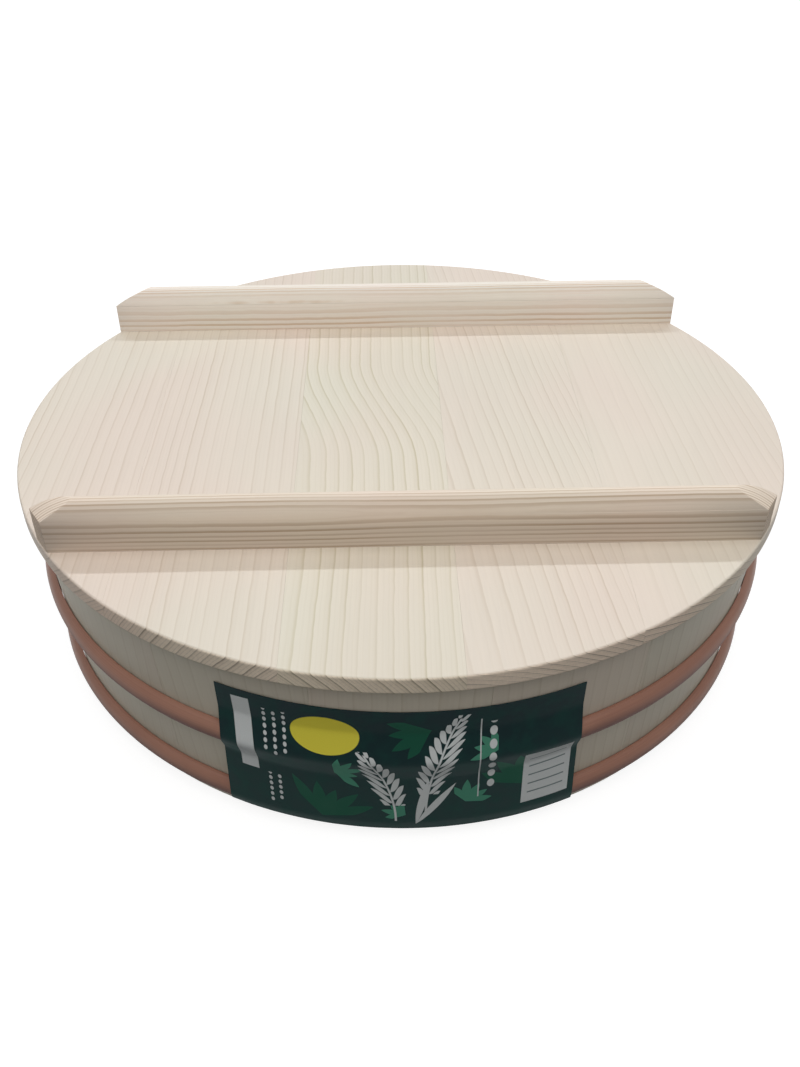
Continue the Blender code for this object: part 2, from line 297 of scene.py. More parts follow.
def wood(name, early, late, axis, pith, spacing, line=0.16, slant=0.0, bend=0.0, bend_place=0.0,
         bend_length=0.06, sway=0.004, swing=5.0, shake=1.0, unevenness=1.2, lines=1.0, painted_foot_shade=0.0,
         end_tone=1.0):
    """Planed softwood. Its grain attribute holds metres across, along and through the piece.

    axis is the object's axis that the grain follows, and pith the tree's centre, across and through.
    spacing is the width of a year, line the share of it that is dark, and lines how dark that share is.
    slant turns the lines, and bend shifts them sideways over bend_length around bend_place.
    sway, swing and shake set how wide, how often and how finely the lines waver, and unevenness how much
    the years differ in width. painted_foot_shade is painted shade: how much darker the piece is painted low
    down, where less light reaches it, and end_tone how bright the end grain is.
    """
    paint = Paint(name, Specular_IOR_Level=0.35)
    across, along, through = paint.split(paint.attribute("grain", "Vector"))
    tone = paint.attribute("tone", "Fac")

    def uneven(across_rate, along_rate, detail=1.0):
        place = paint.vector(across * across_rate, along * along_rate, through * across_rate)
        return paint.noise(place, detail)

    drift = uneven(DRIFT_RATE, swing)
    ripple = uneven(*RIPPLE_RATES)
    tremble = uneven(*TREMBLE_RATES)
    curve = paint.ramp(along, bend_place - bend_length / 2, bend_place + bend_length / 2, bend, 0.0)
    shift = along * -slant + curve + (drift - 0.5) * sway
    shift = shift + ((ripple - 0.5) * RIPPLE_WIDTH + (tremble - 0.5) * TREMBLE_WIDTH) * shake
    from_pith = across - shift - pith[0]
    below_pith = through - pith[1]
    radius = paint.math("SQRT", from_pith * from_pith + below_pith * below_pith)
    wander = paint.noise(paint.vector(radius * YEAR_WANDER_RATE, 0.0, 0.0), detail=1.0)
    year = radius / spacing + (wander - 0.5) * unevenness

    # Each year darkens towards its end, where a narrow line stands, and is pale again at once
    share = paint.math("FRACT", year)
    strength = paint.chance(paint.math("FLOOR", year)) * (1 - FAINTEST_LINE) + FAINTEST_LINE
    strength = strength * paint.ramp(uneven(*PATCH_RATES), 0.30, 0.60, 0.5, 1.0)
    fall = paint.ramp(share, 1 - 0.3 * line, 1.0, 1.0, 0.0)
    narrow = paint.ramp(share, 1 - 1.5 * line, 1 - 0.45 * line)
    wide = paint.ramp(share, 0.2, 1 - 0.5 * line)
    latewood = (narrow * 0.75 + wide * 0.25) * fall * strength
    between = paint.math("FRACT", year * 3)
    hair = paint.ramp(between, 0.55, 0.80) * paint.ramp(between, 0.85, 1.0, 1.0, 0.0)

    fibre = uneven(*FIBRE_RATES, 2.0)
    streak = uneven(*STREAK_RATES, 2.0)
    cloud = uneven(*CLOUD_RATES, 2.0)
    facing = paint.split(paint.coordinate("Normal"))[axis]
    end_grain = paint.ramp(abs(facing), 0.45, 0.85)
    pore_place = paint.vector(across * PORE_RATES[0], through * PORE_RATES[0], along * PORE_RATES[1])
    pores = paint.noise(pore_place, detail=3.0, roughness=0.7)

    depth = latewood * lines + hair * HAIR_LINE * lines
    colour = paint.mix(paint.math("MINIMUM", depth, 1.0), early, late)
    brightness = 1.0 + (fibre - 0.5) * FIBRE_CONTRAST + (streak - 0.5) * STREAK_CONTRAST
    brightness = brightness + (cloud - 0.5) * CLOUD_CONTRAST + tone * TONE_CONTRAST
    # Painted shade: the piece is painted darker low down, where the lid beside it gives it less light
    foot_shade_place = through + (streak - 0.5) * FOOT_SHADE_WAVER
    brightness = brightness - paint.ramp(foot_shade_place, FOOT_SHADE_FROM, FOOT_SHADE_TO, painted_foot_shade, 0.0)
    sawn = (1 - end_tone) + (pores - 0.5) * 0.35 + latewood * 0.65 + hair * 0.12
    brightness = brightness * (1.0 - end_grain * sawn)
    colour = paint.mix(1.0, colour, paint.grey(brightness), "MULTIPLY")
    colour = paint.mix(end_grain, colour, paint.mix(1.0, colour, END_GRAIN_TINT, "MULTIPLY"))
    tint_depth = through * TINT_RATES[0] + TINT_START
    warm = paint.noise(paint.vector(across * TINT_RATES[0], along * TINT_RATES[1], tint_depth), detail=1.0)
    tint = paint.mix(paint.ramp(warm + tone * 0.25, 0.3, 0.7), COOL_TINT, WARM_TINT)
    paint.surface("Base Color", paint.mix(1.0, colour, tint, "MULTIPLY"))
    paint.surface("Roughness", WOOD_ROUGHNESS + (streak - 0.5) * 0.16 - latewood * 0.08 + end_grain * 0.2)
    paint.bump(fibre * 0.5 + latewood * 0.4 + pores * end_grain, 0.15, 0.0001)
    return paint.material


def bamboo():
    """Split bamboo, with fine fibres and darker patches."""
    paint = Paint("split_bamboo")
    x, y, z = paint.split(paint.coordinate("Object"))
    fibre = paint.noise(paint.vector(*(part * BAMBOO_FIBRE_RATE for part in (x, y, z))), detail=3.0)
    patch = paint.noise(paint.vector(*(part * BAMBOO_PATCH_RATE for part in (x, y, z))), detail=1.0)
    colour = paint.mix(fibre, display(150, 122, 70), display(203, 180, 128))
    paint.surface("Base Color", paint.mix(patch * 0.5, colour, display(176, 146, 92)))
    paint.surface("Roughness", 0.5 + (fibre - 0.5) * 0.3)
    paint.bump(fibre, 0.4, 0.0001)
    return paint.material


def hoop_plastic():
    """Satin red-brown plastic strip, with faint drawing lines along it. Its underside is painted darker, as
    painted shade, and is rougher.
    """
    paint = Paint("hoop_plastic_satin", IOR=1.46, Specular_IOR_Level=0.3)
    x, y, z = paint.split(paint.coordinate("Object"))
    radius = paint.math("SQRT", x * x + y * y)
    drawn_place = paint.vector(radius * DRAWN_RATE_ACROSS, z * DRAWN_RATE_ACROSS, x * DRAWN_RATE_ALONG)
    drawn = paint.noise(drawn_place, detail=2.0)
    patch_place = paint.vector(x * HOOP_PATCH_RATE, y * HOOP_PATCH_RATE, z * HOOP_PATCH_RATE_UP)
    patch = paint.noise(patch_place, detail=3.0)
    speck_place = paint.vector(*(part * HOOP_SPECK_RATE for part in (x, y, z)))
    speck = paint.noise(speck_place, detail=2.0, roughness=0.7)
    colour = paint.mix(paint.ramp(patch, 0.25, 0.75), display(162, 117, 99), display(173, 128, 109))
    colour = paint.mix(paint.ramp(speck, 0.62, 0.8) * 0.35, colour, display(190, 142, 118))
    colour = paint.mix((drawn - 0.35) * 0.5, colour, display(118, 76, 64))
    # Painted shade: the side that faces down is painted deep brown, as if out of the light
    upright = paint.split(paint.coordinate("Normal"))[2]
    painted_underside_shade = paint.ramp(upright + (patch - 0.5) * 0.3, -0.4, 0.5, 1.0, 0.0)
    paint.surface("Base Color", paint.mix(painted_underside_shade * 0.9, colour, display(78, 49, 46)))
    paint.surface("Roughness", 0.38 + painted_underside_shade * 0.3 + (patch - 0.5) * 0.2 + (speck - 0.5) * 0.14)
    paint.bump(drawn * 0.6 + speck * 0.4, 0.25, 0.00008)
    return paint.material


def printed_paper():
    """Dark green paper with two pale ears of rice, sprays of leaves, a yellow disc and pale panels.

    Its print attribute holds millimetres to the right of the label's middle and up from its foot.
    """
    paint = Paint("label_paper_printed", IOR=1.5, Specular_IOR_Level=0.08)
    right, up, _ = paint.split(paint.attribute("print", "Vector"))

    def distance(x, y):
        return paint.math("SQRT", x * x + y * y)

    def inside(excess):
        """1 where the excess over a shape's edge, in millimetres, is below nothing."""
        return paint.ramp(excess, 0.12, -0.12)

    def disc(x, y, wide, high):
        return inside((distance((right - x) / wide, (up - y) / high) - 1.0) * min(wide, high))

    def panel(x, y, wide, high, turn=0.0):
        across = (right - x) * math.cos(turn) + (up - y) * math.sin(turn)
        along = (up - y) * math.cos(turn) - (right - x) * math.sin(turn)
        return inside(paint.math("MAXIMUM", abs(across) - wide / 2, abs(along) - high / 2))

    def spray(x, y, turn, count, fan, length, width):
        """Pointed leaves that fan out from a place."""
        angle = math.radians(turn)
        forward = (right - x) * math.cos(angle) + (up - y) * math.sin(angle)
        sideways = (up - y) * math.cos(angle) - (right - x) * math.sin(angle)
        leaf = paint.math("ARCTAN2", sideways, forward) / math.radians(fan) * count + count / 2
        number = paint.math("FLOOR", leaf)
        reach = (paint.chance(number + x) * 0.35 + 0.65) * length
        out = distance(forward, sideways)
        share = out / reach
        off_line = abs(paint.math("FRACT", leaf) - 0.5) * (math.radians(fan) / count) * out
        within = paint.ramp(abs(leaf - count / 2), count / 2, count / 2 - 0.02)
        return inside(off_line - share * (1.0 - share) * (2 * width)) * within

    def ear(x, y, height, lean, pitch=4.4):
        """An ear of rice, whose tip leans right by lean: a stalk, and slanting grains up its sides."""
        climb = up - y
        share = climb / height
        aside = right - x - share * share * lean
        out = abs(aside)
        half_step = paint.math("GREATER_THAN", aside, 0.0) * 0.5
        slot = (climb - out * 1.3) / pitch + half_step
        off_line = abs(paint.math("FRACT", slot) - 0.5) * (pitch * 0.62)
        reach = paint.ramp(share, 0.28, 0.5, 4.5, 6.6) * paint.ramp(share, 0.75, 1.06, 1.0, 0.35)
        place = (out - 0.3) / reach
        fat = place * (1.0 - place) * 4.9
        in_height = paint.ramp(share, 0.24, 0.25) * paint.ramp(share, 1.05, 1.04)
        grains = inside(off_line - fat) * in_height * paint.ramp(place, 1.0, 0.99)
        stalk = inside(out - 0.45) * paint.ramp(share, 1.02, 1.0) * paint.ramp(share, 0.0, 0.01)
        return paint.math("MAXIMUM", grains, stalk)

    def dots(x, low, high, pitch, size):
        """An upright row of small grains."""
        step = abs(paint.math("FRACT", (up - low) / pitch) - 0.5) * pitch
        within = paint.ramp(up, low, low + 0.01) * paint.ramp(up, high, high - 0.01)
        return inside(distance(right - x, step * 0.7) - size) * within

    # The green ground is darker towards the top
    fade = paint.ramp(up, 0.0, 72.0)
    mottle = paint.noise(paint.vector(right * 0.12, up * 0.12, 0.0), detail=2.0)
    paper = paint.noise(paint.vector(right * 3.0, up * 3.0, 0.0), detail=2.0)
    colour = paint.mix(fade, display(29, 54, 53), display(17, 37, 40))
    colour = paint.mix(paint.ramp(mottle, 0.35, 0.75) * 0.3, colour, display(30, 74, 66))
    deep_sprays = ((-36, 6, 70, 5, 120, 26, 5.5), (46, 20, 110, 4, 100, 27, 6), (8, 58, 200, 4, 90, 20, 5))
    light_sprays = (
        (-30, 34, 20, 5, 150, 13, 3.6), (22, 16, 60, 5, 140, 14, 3.8), (34, 46, 150, 4, 120, 12, 3.4),
        (-2, 10, 150, 4, 110, 12, 3.4),
    )
    for shade, places in ((display(30, 84, 66), deep_sprays), (display(80, 146, 122), light_sprays)):
        for place in places:
            colour = paint.mix(spray(*place), colour, shade)
    colour = paint.mix(disc(-33, 54, 13.5, 9.0), colour, display(244, 232, 84))
    pale = display(226, 231, 231)
    for mask in (
        ear(6, 9, 54, 13),
        dots(-57, 42, 62, 3.1, 0.75),
        dots(-53, 40, 62, 3.1, 0.75),
        dots(-49, 42, 62, 3.1, 0.75),
        dots(-57, 8, 25, 3.1, 0.75),
        dots(-53, 10, 25, 3.1, 0.75),
        dots(32, 22, 60, 6.0, 1.5),
        ear(-6, 6, 40, -12),
        spray(2, 4, 68, 2, 46, 30, 3.2),
        panel(56, 24, 21, 31),
        panel(-66, 45, 7.5, 40, 0.03),
        panel(27, 40, 0.5, 44),
    ):
        colour = paint.mix(mask, colour, pale)
    for number in range(LABEL_RULES):
        rule = panel(56, 14 + number * 5, 16, 0.7)
        colour = paint.mix(rule, colour, display(120, 136, 136))
    paint.surface("Base Color", paint.mix(1.0, colour, paint.grey(paper * 0.16 + 0.92), "MULTIPLY"))
    paint.surface("Roughness", 0.58 + (mottle - 0.5) * 0.2)
    paint.bump(paper + mottle * 2.0, 0.12, 0.0002)
    return paint.material


def object_from(name, mesh, body, material, stands_for):
    """Adds a finished piece, ties it to its body and hides the solids that it stands for."""
    piece = bpy.data.objects.new(name, mesh)
    bpy.context.scene.collection.objects.link(piece)
    mesh.materials.append(material)
    normals = piece.modifiers.new("flat_faces_flat", "WEIGHTED_NORMAL")
    normals.weight = 100
    normals.keep_sharp = True
    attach(piece, body)
    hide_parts(*stands_for)


def mesh_from(bm, name, grain, tone=0.0):
    """Mesh with its tone and grain. grain gives a point's metres across, along and through."""
    face_out(bm)
    mesh = bpy.data.meshes.new(name)
    bm.to_mesh(mesh)
    bm.free()
    mesh.shade_smooth()
    mesh.set_sharp_from_angle(angle=SMOOTH_ANGLE)
    write_vectors(mesh, "grain", [grain(vertex.co) for vertex in mesh.vertices])
    tones = mesh.attributes.new("tone", "FLOAT", "POINT")
    tones.data.foreach_set("value", [tone] * len(mesh.vertices))
    return mesh


def write_vectors(mesh, name, vectors):
    attribute = mesh.attributes.new(name, "FLOAT_VECTOR", "POINT")
    attribute.data.foreach_set("vector", [value for vector in vectors for value in vector])


def face_out(bm):
    """Turns every face outwards."""
    bmesh.ops.recalc_face_normals(bm, faces=bm.faces)
    if bm.calc_volume(signed=True) < 0:
        bmesh.ops.reverse_faces(bm, faces=bm.faces)


def joint_between(first, second):
    return (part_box(first)[1].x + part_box(second)[0].x) / 2


def saw_off(bm, point, direction):
    """Cuts away what lies past the plane through the point, and closes the cut."""
    geometry = [*bm.verts, *bm.edges, *bm.faces]
    cut = bmesh.ops.bisect_plane(bm, geom=geometry, plane_co=point, plane_no=direction, clear_outer=True)
    edges = [item for item in cut["geom_cut"] if isinstance(item, bmesh.types.BMEdge)]
    if any(len(edge.link_faces) < 2 for edge in edges):
        bmesh.ops.contextual_create(bm, geom=edges)


def board_shape(left, right, radius, low, high, rounding):
    """A board of a round panel: the strip of a disc from left to right, with its round edge eased."""
    bm = bmesh.new()
    bmesh.ops.create_circle(bm, cap_ends=True, radius=radius, segments=DISC_SEGMENTS)
    bmesh.ops.translate(bm, verts=bm.verts, vec=(0, 0, low))
    grown = bmesh.ops.extrude_face_region(bm, geom=bm.faces[:])
    moved = [item for item in grown["geom"] if isinstance(item, bmesh.types.BMVert)]
    bmesh.ops.translate(bm, verts=moved, vec=(0, 0, high - low))
    face_out(bm)
    level = [edge for edge in bm.edges if abs(edge.verts[0].co.z - edge.verts[1].co.z) < JOINT_GAP]
    bmesh.ops.bevel(bm, geom=level, offset=rounding, segments=ROUNDING_STEPS, profile=0.5, affect="EDGES")
    for joint, direction in ((left, Vector((-1, 0, 0))), (right, Vector((1, 0, 0)))):
        if joint is not None:
            saw_off(bm, Vector((joint, 0, low)) - direction * JOINT_GAP / 2, direction)
    face_out(bm)
    straight = [
        edge for edge in bm.edges
        if abs(edge.verts[0].co.x - edge.verts[1].co.x) < JOINT_GAP
        and edge.calc_length() > radius * JOINT_EDGE_SHARE
    ]
    bmesh.ops.bevel(bm, geom=straight, offset=JOINT_CHAMFER, segments=1, profile=0.5, affect="EDGES")
    return bm


def round_panel(prefix, count, body, rounding, materials):
    """The edge-joined boards of the lid or the floor, in the places of the solids."""
    names = [f"{prefix}_{number}" for number in range(1, count + 1)]
    joints = [None, *(joint_between(*pair) for pair in zip(names, names[1:])), None]
    radius = -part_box(names[0])[0].x
    low, high = (corner.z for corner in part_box(names[0]))
    for name, left, right, material in zip(names, joints, joints[1:], materials):
        bm = board_shape(left, right, radius, low, high, rounding)
        mesh = mesh_from(bm, f"{name}_fine", lambda point: (point.x, point.y, point.z - high))
        object_from(f"{name}_fine", mesh, body, material, [name])


def make_lid_boards():
    """Five boards, each with the run of grain that the photograph shows on it."""
    pale = display(232, 221, 208)
    green = display(230, 222, 207)
    line = display(210, 195, 177)
    strong = display(202, 191, 165)
    looks = [
        dict(early=pale, late=line, pith=(-0.020, -0.10), spacing=0.0042, sway=0.006, lines=0.8),
        dict(early=pale, late=line, pith=(0.047, -0.10), spacing=0.0040, sway=0.005, lines=0.8),
        dict(early=green, late=strong, pith=(-0.137, -0.10), spacing=0.0042, bend=0.018, bend_place=0.008,
             bend_length=0.09, sway=0.010, lines=0.9),
        dict(early=pale, late=line, pith=(-0.016, -0.12), spacing=0.0023, slant=0.10, sway=0.006,
             lines=0.75),
        dict(early=pale, late=line, pith=(0.054, -0.12), spacing=0.0028, slant=0.04, sway=0.007, lines=0.4),
    ]
    materials = [wood(f"lid_wood_{number}", axis=1, **look) for number, look in enumerate(looks, start=1)]
    round_panel("lid_board", BOARD_COUNT, "lid", LID_ROUNDING, materials)


def make_floor_boards():
    material = wood("floor_wood_planed", display(222, 208, 184), display(190, 168, 132), axis=1,
                    pith=(0.03, -0.10), spacing=0.0030, sway=0.012)
    round_panel("floor_board", FLOOR_BOARD_COUNT, "tub", FLOOR_ROUNDING,
                [material] * FLOOR_BOARD_COUNT)


def node_points(node):
    """A node's points as distance from the upright axis, azimuth from the front, and height."""
    points = []
    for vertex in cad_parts[node].data.vertices:
        x, y, z = vertex.co
        points.append((math.hypot(x, y), math.atan2(x, -y), z))
    return points


def outer_radius(node, height):
    """Distance from the axis to the node's outside at a height where it has points."""
    return max(radius for radius, _, z in node_points(node) if abs(z - height) < LEVEL_TOLERANCE)


def around(radius, azimuth, height):
    """Point at an azimuth from the front, positive to the right."""
    return Vector((radius * math.sin(azimuth), -radius * math.cos(azimuth), height))


def eased_corner(corner, before, after, rounding):
    """Points of a quarter round that takes the place of a profile's corner."""
    corner, before, after = Vector(corner), Vector(before), Vector(after)
    start = corner + (before - corner).normalized() * rounding
    end = corner + (after - corner).normalized() * rounding
    points = []
    for step in range(ROUNDING_STEPS + 1):
        share = step / ROUNDING_STEPS
        points.append(tuple(start * (1 - share) ** 2 + corner * 2 * share * (1 - share) + end * share ** 2))
    return points


def turned(profile, azimuths, closed):
    """Surface of a closed profile of (radius, height) pairs, carried through the azimuths."""
    bm = bmesh.new()
    rings = [[bm.verts.new(around(radius, azimuth, z)) for radius, z in profile] for azimuth in azimuths]
    pairs = list(zip(rings, rings[1:]))
    if closed:
        pairs.append((rings[-1], rings[0]))
    for first, second in pairs:
        for index in range(len(profile)):
            following = (index + 1) % len(profile)
            bm.faces.new((first[index], first[following], second[following], second[index]))
    if not closed:
        bm.faces.new(rings[0])
        bm.faces.new(reversed(rings[-1]))
    return bm


def wall_radius(height):
    """Outside of the wall, straight from foot to rim."""
    return FOOT_RADIUS + (RIM_RADIUS - FOOT_RADIUS) * height / RIM_HEIGHT


# The wall and its groove, read from the solids
FOOT_RADIUS = outer_radius("stave_01", RIM_EDGE)
RIM_RADIUS = outer_radius("stave_01", RIM_HEIGHT - RIM_EDGE)
RIM_INSIDE = min(radius for radius, _, z in node_points("stave_01") if z > RIM_HEIGHT - 2 * RIM_EDGE)
WALL_THICKNESS = RIM_RADIUS - RIM_INSIDE
GROOVE_RADIUS = -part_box("floor_board_1")[0].x + GROOVE_FIT


def stave_profile():
    """Outside, rim, inside with the groove that holds the floor, foot."""
    def inner(height):
        return wall_radius(height) - WALL_THICKNESS

    rim_outer = (wall_radius(RIM_HEIGHT), RIM_HEIGHT)
    rim_inner = (inner(RIM_HEIGHT), RIM_HEIGHT)
    foot_outer = (wall_radius(0), 0)
    foot_inner = (inner(0), 0)
    return [
        *eased_corner(foot_outer, foot_inner, rim_outer, RIM_ROUNDING),
        *eased_corner(rim_outer, foot_outer, rim_inner, RIM_ROUNDING),
        *eased_corner(rim_inner, rim_outer, foot_inner, RIM_ROUNDING),
        (inner(FLOOR_HIGH + GROOVE_FIT), FLOOR_HIGH + GROOVE_FIT),
        (GROOVE_RADIUS, FLOOR_HIGH + GROOVE_FIT),
        (GROOVE_RADIUS, FLOOR_LOW - GROOVE_FIT),
        (inner(FLOOR_LOW - GROOVE_FIT), FLOOR_LOW - GROOVE_FIT),
        foot_inner,
    ]


def stave_shape(first_azimuth, sweep):
    """One stave, with a fine V along each joint on the outside and the rim."""
    clearance = JOINT_GAP / RIM_RADIUS
    chamfer = JOINT_CHAMFER / RIM_RADIUS
    start = first_azimuth + clearance / 2
    end = first_azimuth + sweep - clearance / 2
    first = start + chamfer
    span = end - start - 2 * chamfer
    azimuths = [start, *(first + span * step / STAVE_STEPS for step in range(STAVE_STEPS + 1)), end]
    profile = stave_profile()
    bm = turned(profile, azimuths, closed=False)
    middle = wall_radius(RIM_HEIGHT / 2) - WALL_THICKNESS / 2
    bm.verts.ensure_lookup_table()
    edge_rings = [*bm.verts[:len(profile)], *bm.verts[-len(profile):]]
    for vertex in edge_rings:
        radius = vertex.co.xy.length
        pull = JOINT_CHAMFER if radius > middle else -JOINT_CHAMFER
        vertex.co.xy *= (radius - pull) / radius
    return bm


def make_staves():
    """Staves from the azimuth of the first joint on, each cut from another piece of wood."""
    # The wall's wood is darker than the lid's boards: partly greyer wood, partly painted shade of the wall
    # under the lid's edge
    material = wood("stave_wood_planed", display(207, 199, 184), display(174, 161, 138), axis=2,
                    pith=(-0.10, -0.05), spacing=0.0055, sway=0.008, lines=0.4)
    choose = random.Random(STAVE_SEED)
    for number in range(1, STAVE_COUNT + 1):
        node = f"stave_{number:02d}"
        azimuths = sorted(azimuth for _, azimuth, _ in node_points(node))
        if azimuths[-1] - azimuths[0] > math.pi:
            azimuths = sorted(azimuth % (2 * math.pi) for azimuth in azimuths)
        middle = (azimuths[0] + azimuths[-1]) / 2
        sweep = 2 * math.pi / STAVE_COUNT
        offset = choose.uniform(0, STAVE_LOG_LENGTH)
        tone = choose.uniform(-1, 1)
        side = choose.choice((-1, 1))

        def grain(point, middle=middle, offset=offset, side=side):
            turn = (math.atan2(point.x, -point.y) - middle + math.pi) % (2 * math.pi) - math.pi
            return side * turn * RIM_RADIUS, point.z + offset, point.xy.length - RIM_RADIUS

        bm = stave_shape(middle - sweep / 2, sweep)
        mesh = mesh_from(bm, f"{node}_fine", grain, tone)
        object_from(f"{node}_fine", mesh, "tub", material, [node])


def hoop_size(node):
    """Middle height, half height and depth of a hoop."""
    low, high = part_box(node)
    middle = (low.z + high.z) / 2
    reach = max(radius - wall_radius(z) for radius, _, z in node_points(node))
    return middle, (high.z - low.z) / 2, reach


def make_hoop(node, material):
    """Half-round strip round the wall. Its flat side stands a hair off it."""
    middle, half, reach = hoop_size(node)
    profile = []
    for step in range(HOOP_ARC_STEPS + 1):
        angle = math.pi * step / HOOP_ARC_STEPS - math.pi / 2
        level = middle + half * math.sin(angle)
        profile.append((wall_radius(level) + HOOP_SEAT + (reach - HOOP_SEAT) * math.cos(angle), level))
    azimuths = [2 * math.pi * step / HOOP_STEPS for step in range(HOOP_STEPS)]
    bm = turned(profile, azimuths, closed=True)
    mesh = mesh_from(bm, f"{node}_fine", lambda point: point)
    object_from(f"{node}_fine", mesh, "tub", material, [node])


def touching(point, hoop):
    """Where a straight sheet from a point touches a hoop. Points are pairs of stand-off and height."""
    middle, half, reach = hoop
    aside, up = point[0] / reach, (point[1] - middle) / half
    angle = math.atan2(up, aside)
    angle -= math.copysign(math.acos(1 / math.hypot(aside, up)), angle)
    return reach * math.cos(angle), middle + half * math.sin(angle)


def sheet_stand_off(height, straights, hoops):
    """How far the label stands off the wall, on one of its straight stretches or on a hoop."""
    for (high_off, high), (low_off, low) in straights:
        if low <= height <= high:
            return low_off + (high_off - low_off) * (height - low) / (high - low)
    for middle, half, reach in hoops:
        if abs(height - middle) < half:
            return reach * math.sqrt(1 - ((height - middle) / half) ** 2)
    return straights[-1][1][0]


def label_column(reach, hoops):
    """Radii and heights up the label, at a reach along the paper from the middle of the front."""
    azimuth = reach / RIM_RADIUS
    side = LABEL_LEFT_REACH if reach < 0 else LABEL_RIGHT_REACH
    side_share = (reach / side) ** 2
    rise = RIM_RADIUS * (RIM_RADIUS - FOOT_RADIUS) / RIM_HEIGHT / 2 * (azimuth - LABEL_LOWEST_AZIMUTH) ** 2
    top = (0.0, LABEL_TOP + rise)
    leaves = (0.0, LABEL_LEAVES_WALL)
    tuck_off = LABEL_TUCK_IN_MIDDLE + (LABEL_TUCK_AT_SIDES - LABEL_TUCK_IN_MIDDLE) * side_share
    tuck = (tuck_off, LABEL_TUCK_HEIGHT)
    foot = (LABEL_FOOT_STAND_OFF, LABEL_BOTTOM + rise)
    upper, lower = hoops
    straights = [
        (top, leaves), (leaves, touching(leaves, upper)), (touching(tuck, upper), tuck),
        (tuck, touching(tuck, lower)), (touching(foot, lower), foot),
    ]
    shares = [row / LABEL_ROWS for row in range(LABEL_ROWS + 1)]
    heights = [foot[1] * (1 - share) + top[1] * share for share in shares]
    stand_offs = [sheet_stand_off(height, straights, hoops) for height in heights]
    for _ in range(LABEL_SOFTENING):
        inner = [(a + 2 * b + c) / 4 for a, b, c in zip(stand_offs, stand_offs[1:], stand_offs[2:])]
        stand_offs = [stand_offs[0], *inner, stand_offs[-1]]
    return [(wall_radius(height) + LABEL_GAP + off, height) for height, off in zip(heights, stand_offs)]


def make_label():
    """Sheet of paper over the wall and both hoops, with slight waves. It keeps its width on every round."""
    hoops = [hoop_size(node) for node in ("hoop_upper", "hoop_lower")]
    bm = bmesh.new()
    outer, inner = [], []
    prints = []
    for column in range(LABEL_COLUMNS + 1):
        reach = -LABEL_LEFT_REACH + (LABEL_LEFT_REACH + LABEL_RIGHT_REACH) * column / LABEL_COLUMNS
        line = label_column(reach, hoops)
        steps = [math.dist(below, above) for below, above in zip(line, line[1:])]
        lengths = [sum(steps[:row]) for row in range(LABEL_ROWS + 1)]
        for grid, thickness in ((outer, LABEL_THICKNESS), (inner, 0.0)):
            grid.append([])
            for (radius, height), length in zip(line, lengths):
                wave = sum(
                    noise.noise(Vector((reach * round_rate, height * up_rate, start))) * share
                    for round_rate, up_rate, start, share in LABEL_WAVES
                )
                paper_radius = radius + LABEL_WAVE * (0.5 + 0.5 * wave) + thickness
                grid[-1].append(bm.verts.new(around(paper_radius, reach / radius, height)))
                prints.append((reach * 1000, length * LABEL_PRINT_SCALE, 0.0))
    for grid in (outer, inner):
        for left, right in zip(grid, grid[1:]):
            for corners in zip(left, left[1:], right[1:], right):
                bm.faces.new(corners)
    rims = (
        (outer[0], inner[0]), (outer[-1], inner[-1]),
        ([line[0] for line in outer], [line[0] for line in inner]),
        ([line[-1] for line in outer], [line[-1] for line in inner]),
    )
    for front, rear in rims:
        for corners in zip(front, front[1:], rear[1:], rear):
            bm.faces.new(corners)
    mesh = mesh_from(bm, "label_band_fine", lambda point: point)
    write_vectors(mesh, "print", prints)
    object_from("label_band_fine", mesh, "tub", printed_paper(), ["label_band"])


def batten_section():
    """Upright sides under a rounded crown. The foot sits down on the lid and closes the joint."""
    half = BATTEN_THICKNESS / 2
    points = [(-half, -BATTEN_SEAT)]
    for step in range(BATTEN_CROWN_STEPS + 1):
        angle = math.pi * step / BATTEN_CROWN_STEPS
        across = -math.copysign(abs(math.cos(angle)) ** (2 / BATTEN_CROWN_POWER), math.cos(angle))
        up = max(0.0, math.sin(angle)) ** (2 / BATTEN_CROWN_POWER)
        points.append((half * across, BATTEN_SHOULDER + (BATTEN_HEIGHT - BATTEN_SHOULDER) * up))
    points.append((half, -BATTEN_SEAT))
    return points


def batten_end_line():
    """The sloped top of an end, as pairs of distance inwards and height, gently arched."""
    points = []
    for step in range(BATTEN_END_STEPS + 1):
        share = step / BATTEN_END_STEPS
        climb = (BATTEN_HEIGHT - BATTEN_SHOULDER) * share * (1 + BATTEN_END_ARCH * (1 - share))
        points.append((BATTEN_END_LENGTH * share, BATTEN_SHOULDER + climb))
    return points


def edge_middle(edge):
    return (edge.verts[0].co + edge.verts[1].co) / 2


